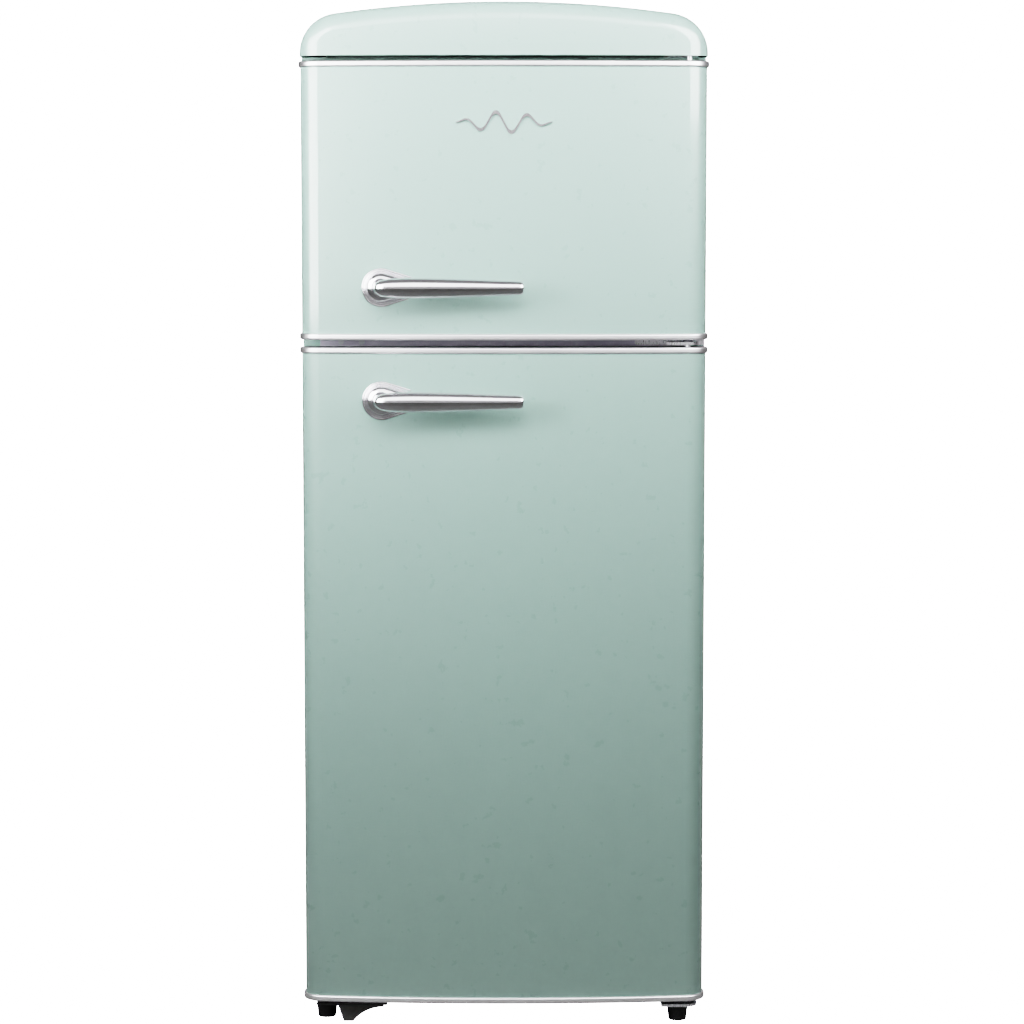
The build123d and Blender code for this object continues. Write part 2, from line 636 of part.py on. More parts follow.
def shelf_trims():
    """Edge mouldings that grip the front and rear edges of the panes."""
    strips = []
    for z in (*SHELF_HEIGHTS, COVER_GLASS_Z):
        strips.append(box(-TRIM_HALF, TRIM_HALF, SHELF_FRONT - 6, SHELF_FRONT + 7, z - 3, z + 8))
    for z in SHELF_HEIGHTS:
        strips.append(box(-TRIM_HALF, TRIM_HALF, SHELF_REAR - 6, SHELF_REAR + 3, z - 3, z + 16))
    panes = glass_panes()
    return group([strip - panes for strip in strips])


def freezer_shelf():
    """Welded wire shelf resting on the freezer's ledges."""
    z = FREEZER_SHELF_Z + 2.5
    front, rear = -90.0, 236.0
    shelf = bar_x(front, z, -SHELF_HALF, SHELF_HALF, 2.5)
    for y in ((front + rear) / 2, rear):
        shelf += bar_x(y, z, -SHELF_HALF, SHELF_HALF, 2.5)
    count = 21
    pitch = 2 * (SHELF_HALF - 12) / (count - 1)
    rods = [bar_y(-SHELF_HALF + 12 + pitch * n, z, front - 5, rear + 5, 1.6) for n in range(count)]
    return shelf + rods


def crisper_drawer():
    """Clear vegetable drawer with a pull lip along its front."""
    drawer = box(-DRAWER_HALF, DRAWER_HALF, DRAWER_FRONT, DRAWER_REAR, DRAWER_BOTTOM, DRAWER_TOP)
    upright = drawer.edges().filter_by(Axis.Z)
    drawer = fillet(upright, 12.0)
    wall = 3.0
    drawer -= box(
        -DRAWER_HALF + wall, DRAWER_HALF - wall, DRAWER_FRONT + wall, DRAWER_REAR - wall,
        DRAWER_BOTTOM + wall, DRAWER_TOP + 1,
    )
    lip_front = DRAWER_FRONT - 12
    return drawer + box(-150, 150, lip_front, DRAWER_FRONT, DRAWER_TOP - 4, DRAWER_TOP)


def control_housing():
    """Ceiling box that holds the lamp well and the thermostat."""
    housing = fillet(box(*HOUSING).edges().filter_by(Axis.Z), 10.0)
    housing -= box(*LAMP_WELL)
    front = HOUSING[2]
    return housing - bar_y(KNOB_X, KNOB_Z, front - 1, front + 16, KNOB_SHAFT + FIT)


def thermostat_knob():
    front = HOUSING[2] - BODY_GAP
    disc = bar_y(KNOB_X, KNOB_Z, front - KNOB_DEPTH, front, KNOB_RADIUS)
    face = front - KNOB_DEPTH
    rib = box(KNOB_X - 2.5, KNOB_X + 2.5, face - 4, face, KNOB_Z - 15, KNOB_Z + 15)
    return disc + rib + bar_y(KNOB_X, KNOB_Z, front, front + 14, KNOB_SHAFT)


def lamp_cover():
    """Ribbed diffuser pushed into the lamp well from below."""
    x0, x1, y0, y1, _, _ = LAMP_WELL
    low = HOUSING[4] - 9
    high = HOUSING[4] + 4
    cover = box(x0, x1, y0, y1, low, high)
    return cover - box(x0 + 2, x1 - 2, y0 + 2, y1 - 2, low + 2, high + 1)


def lamp():
    x0, x1, _, rear, _, _ = LAMP_WELL
    x = (x0 + x1) / 2
    z = HOUSING[4] + 17
    bulb = Pos(x, 20, z) * Sphere(13.0) + bar_y(x, z, 20, 55, 9.0)
    return bulb + bar_y(x, z, 55, rear, 12.0)


def door_switch():
    """Lamp switch under the ceiling, behind the door's upper edge."""
    x, z = SWITCH_X, SWITCH_Z
    front = CABINET_FRONT + 3
    body = box(x - 14, x + 14, front, front + 42, z - 6, FRIDGE_CEILING - LINER)
    return body - bar_y(x, z, front - 1, front + 38, SWITCH_RADIUS + FIT)


def switch_plunger():
    tip = DOOR_REAR + 0.4
    return bar_y(SWITCH_X, SWITCH_Z, tip, CABINET_FRONT + 36, SWITCH_RADIUS)


# ---- Door parts ---------------------------------------------------------------------------
BUSH_RADIUS, BUSH_DEPTH, BUSH_COLLAR = 9.0, 16.0, 7.5
BOTTOM_COLLAR = FRIDGE_DOOR[0] - (BOTTOM_PLATE_Z + PLATE) - BODY_GAP
MIDDLE_COLLAR = FREEZER_DOOR[0] - (MULLION_Z + PLATE / 2) - BODY_GAP


def skin_band(door):
    return door[0] + TRIM_HEIGHT, door[1] - TRIM_HEIGHT


def door_skin(door):
    """Bowed sheet with rear returns, between the two trims."""
    low, high = skin_band(door)
    rear = DOOR_REAR - LINER
    skin = door_prism(0.0, rear, low, high) - door_prism(-SHEET, rear + 5, low - 1, high + 1)
    return skin + skin_returns(low, high)


def skin_returns(low, high):
    rear = DOOR_REAR - LINER
    outer = CABINET_HALF - SHEET / 2
    right = box(outer - RETURN, outer, rear - SHEET, rear, low, high)
    return [right, mirror(right, Plane.YZ)]


def bush(door, at_top, radius, hole):
    """The hinge bush of one end of a door, or its bore."""
    x, y = PIVOT
    deep = 1.0 if hole else 0.0
    if at_top:
        return post(x, y, door[1] - BUSH_DEPTH, door[1] + deep, radius)
    return post(x, y, door[0] - deep, door[0] + BUSH_DEPTH, radius)


def door_end_caps(door, collar):
    """Moulded caps that close both ends of a door and carry the hinge bushes."""
    x, y = PIVOT
    rear = DOOR_REAR - LINER
    bottom = door_prism(-TRIM_SEAT, rear, door[0], door[0] + TRIM_HEIGHT)
    bottom += bush(door, False, BUSH_RADIUS, False)
    bottom += post(x, y, door[0] - collar, door[0], BUSH_COLLAR)
    bottom -= post(x, y, door[0] - collar - 1, door[0] + BUSH_DEPTH - 1, PIN_RADIUS + FIT)
    top = door_prism(-TRIM_SEAT, rear, door[1] - TRIM_HEIGHT, door[1])
    top += bush(door, True, BUSH_RADIUS, False)
    top -= post(x, y, door[1] - BUSH_DEPTH + 1, door[1] + 1, PIN_RADIUS + FIT)
    return group([bottom, top])


def door_foam(door, dyke_low, dyke_high):
    """Insulation of the door slab, and the four bars of it that fill the dyke."""
    low, high = skin_band(door)
    front, rear = DOOR_REAR - LINER, DYKE_REAR - LINER
    slab = door_prism(-SHEET, front, low, high) - skin_returns(low, high)
    slab -= [bush(door, False, BUSH_RADIUS, True), bush(door, True, BUSH_RADIUS, True)]
    half, width = DYKE_HALF - LINER, DYKE_WIDTH - 2 * LINER
    low, high = dyke_low + LINER, dyke_high - LINER
    right = box(half - width, half, front, rear, low, high)
    top = box(-half + width, half - width, front, rear, high - width, high)
    bottom = box(-half + width, half - width, front, rear, low, low + width)
    return group([slab, right, mirror(right, Plane.YZ), top, bottom])


def door_trims(door):
    """Polished bead along the bottom and the top edge, wrapped round both corners."""
    beads = []
    for low in (door[0], door[1] - TRIM_HEIGHT):
        bead = door_prism(TRIM_PROUD, TRIM_REAR, low, low + TRIM_HEIGHT)
        outer = [
            edge for edge in bead.edges()
            if abs(edge.center().Z - low - TRIM_HEIGHT / 2) > TRIM_HEIGHT / 2 - 0.1
            and min((edge @ 0).Y, (edge @ 1).Y) < TRIM_REAR - 1
        ]
        bead = fillet(outer, 2.8)
        beads.append(bead - door_prism(-TRIM_SEAT, TRIM_REAR + 5, low - 1, low + TRIM_HEIGHT + 1))
    return group(beads)


def door_liner(door, dyke_low, dyke_high):
    """Inner sheet with a raised hollow dyke that frames the bins."""
    rear = DOOR_REAR
    half = CABINET_HALF - 3
    sheet = box(-half, half, rear - LINER, rear, door[0] + 2, door[1] - 2)
    dyke = frame_ring(DYKE_HALF, dyke_low, dyke_high, DYKE_WIDTH, rear, DYKE_REAR)
    core_width = DYKE_WIDTH - 2 * LINER
    core = frame_ring(
        DYKE_HALF - LINER, dyke_low + LINER, dyke_high - LINER, core_width,
        rear - LINER - 1, DYKE_REAR - LINER,
    )
    return sheet + dyke - core


def door_gasket(low, high):
    """Magnetic seal around the inner face of a door."""
    ring = box(-GASKET_OUTER, GASKET_OUTER, DOOR_REAR, GASKET_REAR, low, high)
    ring = fillet(ring.edges().filter_by(Axis.Y), 18.0)
    inner = GASKET_OUTER - GASKET
    hole = box(-inner, inner, DOOR_REAR - 1, GASKET_REAR + 1, low + GASKET, high - GASKET)
    return ring - fillet(hole.edges().filter_by(Axis.Y), 4.0)


def door_bins(bins):
    """Open-topped bins between the dykes."""
    shapes = []
    for low, height in bins:
        bin_body = box(-BIN_HALF, BIN_HALF, DOOR_REAR, BIN_REAR, low, low + height)
        inner = box(
            -BIN_HALF + BIN_WALL, BIN_HALF - BIN_WALL, DOOR_REAR + BIN_WALL, BIN_REAR - BIN_WALL,
            low + BIN_WALL, low + height + 1,
        )
        shapes.append(bin_body - inner)
    return group(shapes)


def handle_base(z):
    """Stepped teardrop plate that follows the bow of the door."""
    plate = extrude(Pos(0, -286.5, 0) * teardrop(PLATE_RADIUS, TIP_RADIUS, z), 15.0, dir=(0, 1, 0))
    plate = fillet(plate.edges().group_by(Axis.Y)[0], 2.0)
    step = extrude(Pos(0, -291.0, 0) * teardrop(PLATE_RADIUS - 7, TIP_RADIUS - 3, z), 6.0, dir=(0, 1, 0))
    step = fillet(step.edges().group_by(Axis.Y)[0], 2.0)
    return plate + step - door_prism(0.0, DOOR_REAR, z - 50, z + 50)


def handle_lever(z):
    """Lever with an egg-shaped nose, tapering to a rounded end, on a round neck."""
    sections = [
        Plane((x, LEVER_Y, z), x_dir=(0, 1, 0), z_dir=(1, 0, 0)) * Ellipse(half * LEVER_DEPTH, half)
        for x, half in LEVER_OUTLINE
    ]
    return loft(sections, ruled=True) + bar_y(PLATE_X, z, LEVER_Y, -291.0, NECK_RADIUS)


def badge():
    """Wordless wave ornament on the freezer door."""
    count = 33
    upper, lower = [], []
    for number in range(count):
        share = number / (count - 1)
        x = -BADGE_HALF + 2 * BADGE_HALF * share
        rise = BADGE_RISE * sin(pi * share) * sin(6 * pi * share)
        half = 0.8 + 2.2 * sin(pi * share)
        upper.append((x, 0, BADGE_Z + rise + half))
        lower.append((x, 0, BADGE_Z + rise - half))
    edges = [Spline(*upper), Line(upper[-1], lower[-1]), Spline(*lower), Line(lower[0], upper[0])]
    ribbon = extrude(Pos(0, DOOR_FRONT - 2.5, 0) * make_face(edges), 6.0, dir=(0, 1, 0))
    return ribbon - door_prism(0.0, DOOR_REAR, BADGE_Z - 50, BADGE_Z + 50)


# ---- Write every node ---------------------------------------------------------------------
def write_cabinet():
    save(cabinet_shell(), "cabinet_shell")
    save(back_panel(), "back_panel")
    save(base_pan(), "base_pan")
    save(cabinet_foam(), "cabinet_foam")
    save(freezer_liner(), "freezer_liner")
    save(fridge_liner(), "fridge_liner")
    save(mullion_bar(), "mullion_bar")
    save(top_cap(), "top_cap")
    save(top_hinge_bracket(), "top_hinge_bracket")
    save(middle_hinge_bracket(), "middle_hinge_bracket")
    save(bottom_hinge_bracket(), "bottom_hinge_bracket")
    save(hinge_pins(), "hinge_pins")
    save(hinge_screws(), "hinge_screws")
    save(hinge_hole_plugs(), "hinge_hole_plugs")
    save(left_foot_bracket(), "left_foot_bracket")
    save(foot_skid(), "foot_skid")


def write_running_gear():
    save(front_foot(LEFT_FOOT), "front_foot_left")
    save(front_foot(RIGHT_FOOT), "front_foot_right")
    save(rear_roller(-1), "rear_roller_left")
    save(rear_roller(1), "rear_roller_right")
    save(group([roller_bracket(-1), roller_bracket(1)]), "roller_brackets")


def write_cooling():
    save(compressor_tray(), "compressor_tray")
    save(compressor(), "compressor")
    save(compressor_grommets(), "compressor_grommets")
    save(compressor_relay_box(), "compressor_relay_box")
    save(condenser_coil(), "condenser_coil")
    save(condenser_wires(), "condenser_wires")
    save(condenser_clips(), "condenser_clips")
    save(refrigerant_pipes(), "refrigerant_pipes")
    save(drip_tray(), "drip_tray")
    plates = [evaporator(225.0, 1075.0, 1370.0), evaporator(200.0, 560.0, 940.0)]
    save(group(plates), "evaporators")


def write_fittings():
    save(group(glass_panes()), "glass_shelves")
    save(shelf_trims(), "shelf_trims")
    save(freezer_shelf(), "freezer_shelf")
    save(crisper_drawer(), "crisper_drawer")
    save(control_housing(), "control_housing")
    save(thermostat_knob(), "thermostat_knob")
    save(lamp_cover(), "lamp_cover")
    save(lamp(), "lamp")
    save(door_switch(), "door_switch")
    save(switch_plunger(), "switch_plunger")


def write_door(name, door, collar, dyke, gasket, bins, handle_z, handle_name):
    save(door_skin(door), f"{name}_skin")
    save(door_end_caps(door, collar), f"{name}_end_caps")
    save(door_foam(door, *dyke), f"{name}_foam")
    save(door_trims(door), f"{name}_trims")
    save(door_liner(door, *dyke), f"{name}_liner")
    save(door_gasket(*gasket), f"{name}_gasket")
    save(door_bins(bins), f"{name}_bins")
    save(handle_base(handle_z), f"{handle_name}_base")
    save(handle_lever(handle_z), f"{handle_name}_lever")


def write_doors():
    write_door(
        "freezer_door", FREEZER_DOOR, MIDDLE_COLLAR, (1062.0, 1378.0), (1029.0, 1412.0),
        FREEZER_BINS, FREEZER_HANDLE_Z, "freezer_handle",
    )
    write_door(
        "fridge_door", FRIDGE_DOOR, BOTTOM_COLLAR, (104.0, 970.0), (73.0, 1013.0),
        FRIDGE_BINS, FRIDGE_HANDLE_Z, "fridge_handle",
    )
    save(badge(), "badge")


os.makedirs("parts", exist_ok=True)
write_cabinet()
write_running_gear()
write_cooling()
write_fittings()
write_doors()
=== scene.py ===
"""Looks of the retro two-door refrigerator: camera, studio, materials and refined pieces.

Metres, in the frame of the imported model: +Z up, +X right, doors facing -Y.
"""
import json
from math import asin, cos, pi, radians, sin, sqrt

import bmesh
import bpy
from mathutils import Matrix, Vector


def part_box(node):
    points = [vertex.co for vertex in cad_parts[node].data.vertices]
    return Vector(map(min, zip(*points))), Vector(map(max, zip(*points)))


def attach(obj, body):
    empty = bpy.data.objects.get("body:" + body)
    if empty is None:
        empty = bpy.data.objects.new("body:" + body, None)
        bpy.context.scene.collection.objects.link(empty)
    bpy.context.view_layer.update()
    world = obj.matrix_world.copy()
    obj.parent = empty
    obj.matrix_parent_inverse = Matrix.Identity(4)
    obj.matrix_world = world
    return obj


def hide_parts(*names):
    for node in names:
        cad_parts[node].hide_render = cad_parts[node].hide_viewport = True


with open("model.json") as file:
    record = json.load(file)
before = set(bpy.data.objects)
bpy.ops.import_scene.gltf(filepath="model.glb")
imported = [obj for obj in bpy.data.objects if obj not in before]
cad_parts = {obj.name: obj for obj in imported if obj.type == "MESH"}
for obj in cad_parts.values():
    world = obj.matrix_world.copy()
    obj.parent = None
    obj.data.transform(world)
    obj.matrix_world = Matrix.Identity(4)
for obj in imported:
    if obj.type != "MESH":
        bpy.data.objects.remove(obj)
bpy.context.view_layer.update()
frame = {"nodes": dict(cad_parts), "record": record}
NODES = frame["nodes"]
MM = 0.001


# ---- Camera -------------------------------------------------------------------------------
CAMERA_PLACE = (0.012, -4.8365, 1.209)
CAMERA_PITCH = 5.48
CAMERA_LENS = 109.0


def add_camera():
    data = bpy.data.cameras.new("camera")
    data.lens = CAMERA_LENS
    data.sensor_width = 36.0
    data.clip_end = 50.0
    camera = bpy.data.objects.new("camera", data)
    camera.location = CAMERA_PLACE
    camera.rotation_euler = (radians(90 - CAMERA_PITCH), 0, 0)
    bpy.context.scene.collection.objects.link(camera)
    bpy.context.scene.camera = camera


# ---- Shader helpers -----------------------------------------------------------------------
class Shader:
    """A material under construction: one Principled shader fed by procedural detail."""

    def __init__(self, name):
        self.material = bpy.data.materials.new(name)
        self.material.use_nodes = True
        self.tree = self.material.node_tree
        self.principled = self.tree.nodes["Principled BSDF"]
        self.place = self.tree.nodes.new("ShaderNodeTexCoord").outputs["Object"]

    def set(self, **sockets):
        for name, value in sockets.items():
            self.principled.inputs[name.replace("_", " ")].default_value = value
        return self

    def link(self, output, socket):
        self.tree.links.new(output, socket)

    def stretched(self, scale):
        """Object coordinates scaled along each axis."""
        mapping = self.tree.nodes.new("ShaderNodeMapping")
        mapping.inputs["Scale"].default_value = scale
        self.link(self.place, mapping.inputs["Vector"])
        return mapping.outputs["Vector"]

    def noise(self, scale, detail=3.0, stretch=None, roughness=0.55):
        texture = self.tree.nodes.new("ShaderNodeTexNoise")
        texture.inputs["Scale"].default_value = scale
        texture.inputs["Detail"].default_value = detail
        texture.inputs["Roughness"].default_value = roughness
        source = self.stretched(stretch) if stretch else self.place
        self.link(source, texture.inputs["Vector"])
        return texture.outputs["Fac"]

    def cells(self, scale):
        texture = self.tree.nodes.new("ShaderNodeTexVoronoi")
        texture.inputs["Scale"].default_value = scale
        self.link(self.place, texture.inputs["Vector"])
        return texture.outputs["Distance"]

    def ranged(self, value, low, high, start=0.3, stop=0.7):
        node = self.tree.nodes.new("ShaderNodeMapRange")
        node.inputs["From Min"].default_value = start
        node.inputs["From Max"].default_value = stop
        node.inputs["To Min"].default_value = low
        node.inputs["To Max"].default_value = high
        self.link(value, node.inputs["Value"])
        return node.outputs["Result"]

    def colour(self, value, first, second, start=0.3, stop=0.7):
        """Base colour that drifts between two shades."""
        ramp = self.tree.nodes.new("ShaderNodeValToRGB")
        ramp.color_ramp.elements[0].position = start
        ramp.color_ramp.elements[1].position = stop
        ramp.color_ramp.elements[0].color = (*first, 1)
        ramp.color_ramp.elements[1].color = (*second, 1)
        self.link(value, ramp.inputs["Fac"])
        self.link(ramp.outputs["Color"], self.principled.inputs["Base Color"])
        return self

    def roughness(self, value, low, high):
        self.link(self.ranged(value, low, high), self.principled.inputs["Roughness"])
        return self

    def bump(self, height, distance, strength=1.0):
        node = self.tree.nodes.new("ShaderNodeBump")
        node.inputs["Distance"].default_value = distance
        node.inputs["Strength"].default_value = strength
        self.link(height, node.inputs["Height"])
        self.link(node.outputs["Normal"], self.principled.inputs["Normal"])
        return self


def shade(colour, factor):
    return tuple(min(1.0, channel * factor) for channel in colour)


def drift(shader, colour, scale, spread):
    """Slight change of brightness over the surface."""
    return shader.colour(shader.noise(scale), shade(colour, 1 - spread), shade(colour, 1 + spread))


# ---- Materials ----------------------------------------------------------------------------
MINT = (0.42, 0.61, 0.552)


def gloss_paint(name, colour):
    """Sprayed enamel under a clear coat, with faint orange peel."""
    shader = Shader(name).set(Coat_Weight=1.0, Coat_Roughness=0.10, Coat_IOR=1.6, IOR=1.5)
    drift(shader, colour, 3.0, 0.006)
    shader.roughness(shader.noise(60.0), 0.27, 0.31)
    return shader.bump(shader.noise(150.0, 1.0), 0.00001, 0.15).material


def metal(name, colour, low, high, grain=(1, 1, 1), grain_scale=300.0, depth=0.00002, spread=0.03):
    """Bare or plated metal with a directional grain."""
    shader = Shader(name).set(Metallic=1.0)
    drift(shader, colour, 12.0, spread)
    lines = shader.noise(grain_scale, 4.0, grain)
    shader.roughness(lines, low, high)
    return shader.bump(lines, depth, 0.3).material


def plastic(name, colour, low, high, grain_scale=900.0, depth=0.00004, spread=0.03, **sockets):
    """Moulded plastic with a fine grain."""
    shader = Shader(name).set(**sockets)
    drift(shader, colour, 9.0, spread)
    grain = shader.noise(grain_scale, 2.0)
    shader.roughness(shader.noise(40.0), low, high)
    return shader.bump(grain, depth, 0.5).material


def clear_plastic():
    """Clear styrene with faint flow marks."""
    shader = Shader("clear_plastic").set(Transmission_Weight=0.92, IOR=1.49)
    drift(shader, (0.90, 0.94, 0.95), 6.0, 0.02)
    shader.roughness(shader.noise(25.0), 0.04, 0.12)
    return shader.bump(shader.noise(35.0, 2.0, (1, 1, 4)), 0.0003, 0.15).material


def shelf_glass():
    """Float glass with a green cast."""
    shader = Shader("shelf_glass").set(Transmission_Weight=0.95, IOR=1.52)
    drift(shader, (0.86, 0.95, 0.91), 5.0, 0.01)
    shader.roughness(shader.noise(20.0), 0.01, 0.04)
    return shader.bump(shader.noise(12.0, 1.0), 0.0002, 0.08).material


def insulation():
    """Poured foam, open-grained."""
    shader = Shader("foam")
    drift(shader, (0.80, 0.71, 0.47), 20.0, 0.10)
    shader.roughness(shader.noise(80.0), 0.85, 0.97)
    return shader.bump(shader.cells(260.0), 0.0012, 0.8).material


def galvanised():
    """Zinc-coated sheet with its spangle."""
    shader = Shader("galvanised").set(Metallic=1.0)
    spangle = shader.cells(70.0)
    shader.colour(spangle, (0.40, 0.42, 0.44), (0.56, 0.58, 0.60), 0.1, 0.8)
    shader.roughness(spangle, 0.35, 0.55)
    return shader.bump(shader.noise(220.0), 0.00005, 0.3).material


def enamel_black():
    """Stoved black enamel."""
    shader = Shader("black_paint").set(Coat_Weight=0.3, Coat_Roughness=0.2)
    drift(shader, (0.018, 0.018, 0.019), 8.0, 0.2)
    shader.roughness(shader.noise(70.0), 0.32, 0.48)
    return shader.bump(shader.noise(500.0, 2.0), 0.00006, 0.5).material


def make_materials():
    """One finished material for each slot of the record."""
    return {
        "body_paint": gloss_paint("body_paint", MINT),
        "polished_trim": metal("polished_trim", (0.88, 0.87, 0.89), 0.33, 0.40, (2, 2, 40), 60.0),
        "chrome": metal("chrome", (0.82, 0.81, 0.84), 0.12, 0.17, (1, 1, 1), 40.0, 0.00001, 0.015),
        "mullion_metal": plastic(
            "mullion_metal", (0.62, 0.60, 0.68), 0.30, 0.42, 500.0, 0.00005, Metallic=0.35),
        "hinge_steel": metal("hinge_steel", (0.72, 0.72, 0.75), 0.24, 0.36, (6, 6, 1), 120.0),
        "galvanised": galvanised(),
        "back_paint": plastic("back_paint", (0.42, 0.43, 0.43), 0.45, 0.6, 300.0, 0.0001),
        "black_paint": enamel_black(),
        "liner_white": plastic("liner_white", (0.80, 0.82, 0.82), 0.26, 0.30, 140.0, 0.00001, 0.005),
        "end_cap_plastic": plastic("end_cap_plastic", (0.12, 0.12, 0.135), 0.4, 0.5),
        "foam": insulation(),
        "gasket": plastic("gasket", (0.56, 0.58, 0.58), 0.5, 0.65, 700.0, 0.00006),
        "clear_plastic": clear_plastic(),
        "shelf_glass": shelf_glass(),
        "shelf_trim": plastic("shelf_trim", (0.76, 0.78, 0.78), 0.25, 0.35),
        "black_plastic": plastic("black_plastic", (0.012, 0.012, 0.013), 0.35, 0.5, 1200.0, 0.00008),
        "skid_plastic": plastic("skid_plastic", (0.085, 0.082, 0.080), 0.4, 0.55, 1100.0, 0.00009),
        "black_rubber": plastic("black_rubber", (0.014, 0.014, 0.014), 0.7, 0.85, 600.0, 0.0001),
        "copper": metal("copper", (0.62, 0.30, 0.17), 0.22, 0.4, (1, 1, 1), 90.0, 0.00004, 0.12),
        "evaporator_aluminium": metal("evaporator_aluminium", (0.66, 0.67, 0.68), 0.3, 0.42, (20, 2, 2)),
        "tray_plastic": plastic("tray_plastic", (0.62, 0.62, 0.60), 0.4, 0.55),
        "wire_white": plastic("wire_white", (0.80, 0.80, 0.80), 0.2, 0.3, 300.0, 0.00005),
        "control_plastic": plastic("control_plastic", (0.70, 0.72, 0.73), 0.3, 0.42),
        "knob_plastic": plastic("knob_plastic", (0.45, 0.46, 0.48), 0.25, 0.35),
        "diffuser": plastic("diffuser", (0.88, 0.88, 0.84), 0.3, 0.4, Transmission_Weight=0.35),
        "lamp_glass": plastic("lamp_glass", (0.95, 0.93, 0.86), 0.08, 0.14, Transmission_Weight=0.6),
        "plug_plastic": plastic("plug_plastic", (0.66, 0.66, 0.70), 0.25, 0.35),
    }


def assign(piece, material):
    piece.data.materials.clear()
    piece.data.materials.append(material)


def dress_nodes(materials):
    for part in frame["record"]["subparts"]:
        assign(NODES[part["node"]], materials[part["material_slot"]])


# ---- Mesh helpers -------------------------------------------------------------------------
def loft_mesh(mesh, rings):
    """Adds a closed shell through rings of equal length to a bmesh, its ends capped."""
    loops = [[mesh.verts.new(point) for point in ring] for ring in rings]
    count = len(rings[0])
    for first, second in zip(loops, loops[1:]):
        for i in range(count):
            j = (i + 1) % count
            mesh.faces.new((first[i], first[j], second[j], second[i]))
    for loop in (loops[0], loops[-1]):
        middle = mesh.verts.new(sum((v.co for v in loop), Vector()) / count)
        for i in range(count):
            mesh.faces.new((loop[i], loop[(i + 1) % count], middle))


def finish_piece(name, mesh, body, slot, node, smoothing=1):
    """Turns a bmesh into a smooth, dressed piece that rides on a body in place of a node."""
    bmesh.ops.recalc_face_normals(mesh, faces=mesh.faces)
    data = bpy.data.meshes.new(name)
    mesh.to_mesh(data)
    mesh.free()
    data.polygons.foreach_set("use_smooth", [True] * len(data.polygons))
    piece = bpy.data.objects.new(name, data)
    bpy.context.scene.collection.objects.link(piece)
    if smoothing:
        subdivision = piece.modifiers.new("smooth", "SUBSURF")
        subdivision.levels = subdivision.render_levels = smoothing
    assign(piece, materials[slot])
    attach(piece, body)
    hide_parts(node)
    return piece


def blend_through(points, place):
    """Smooth curve through (place, value) points, read at one place."""
    last = len(points) - 1
    for i in range(last):
        if place <= points[i + 1][0] or i == last - 1:
            break
    (x0, y0), (x1, y1) = points[i], points[i + 1]
    before, after = points[max(i - 1, 0)], points[min(i + 2, last)]
    span = x1 - x0
    slope0 = (y1 - before[1]) / (x1 - before[0])
    slope1 = (after[1] - y0) / (after[0] - x0)
    t = (place - x0) / span
    rise = (2 * t + 1) * (1 - t) ** 2 * y0 + t * t * (3 - 2 * t) * y1
    return rise + t * (1 - t) ** 2 * span * slope0 - t * t * (1 - t) * span * slope1


# ---- Handles ------------------------------------------------------------------------------
DOOR_BOW = 2492 * MM                 # radius of the doors' bow in plan
DOOR_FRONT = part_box("freezer_door_skin")[0][1]
PLATE_INSET = 28.5 * MM              # from the plate's left edge to the centre of its rings
TAPER = asin(20.5 / 70)              # lean of the plate's straight edges
TIP = 8 * MM
PLATE_PROFILE = (                    # inset from the edge and height above the plate's foot, in mm
    (0.0, -3.0), (0.0, 0.6), (0.15, 1.3), (0.6, 1.8), (1.3, 2.0), (2.5, 2.0), (3.1, 1.7), (3.5, 1.2),
    (3.8, 1.1), (4.1, 1.4), (4.3, 2.6), (4.6, 3.3), (5.1, 3.6), (5.8, 3.6), (6.4, 3.3), (6.8, 2.8),
    (7.1, 2.7), (7.4, 3.0), (7.8, 4.1), (8.6, 5.2), (10.0, 6.2), (12.0, 7.2), (14.5, 8.1),
    (17.5, 8.8), (20.5, 9.1), (23.0, 9.2),
)
LEVER_DEPTH = 0.7                    # share of its height
NECK_OVERHANG = 2.0 * MM             # how far the neck shows left of the lever's nose
NOSE_FULLNESS = 0.9
NOSE_LENGTH, NOSE_END = 0.09, 0.05   # shares of the length: the nose's own curve, and where it stops
PLATE_ARC, PLATE_EDGE, PLATE_TIP = 72, 14, 12       # steps round the plate's outline
ROUND_STEPS = 48                     # steps round the lever and the neck
NECK_SINK = 1.5 * MM                 # how deep the neck starts below the plate's crown
LEVER_STATIONS = (
    0.0015, 0.004, 0.008, 0.014, 0.022, 0.032, 0.045, 0.062, 0.085, 0.115,
    *(0.15 + 0.05 * i for i in range(16)),
    0.93, 0.955, 0.968, 0.978, 0.986, 0.992, 0.996, 0.999, 1.0,
)
LEVER_OUTLINE = (                    # share of the length and of the half height
    (0.0, 0.0), (0.004, 0.30), (0.014, 0.54), (0.032, 0.71), (0.058, 0.82), (0.09, 0.895),
    (0.14, 0.95), (0.20, 0.985), (0.285, 1.0), (0.38, 0.98), (0.48, 0.94), (0.60, 0.875),
    (0.72, 0.81), (0.85, 0.735), (0.955, 0.68), (0.975, 0.665), (0.990, 0.60), (0.998, 0.50),
    (1.0, 0.40),
)
NECK_PROFILE = (                     # share of the way out and radius in mm
    (0.0, 14.5), (0.06, 13.4), (0.15, 12.0), (0.30, 10.9), (0.5, 10.4), (0.72, 10.5), (0.9, 10.3),
    (0.97, 9.7), (1.0, 8.6),
)


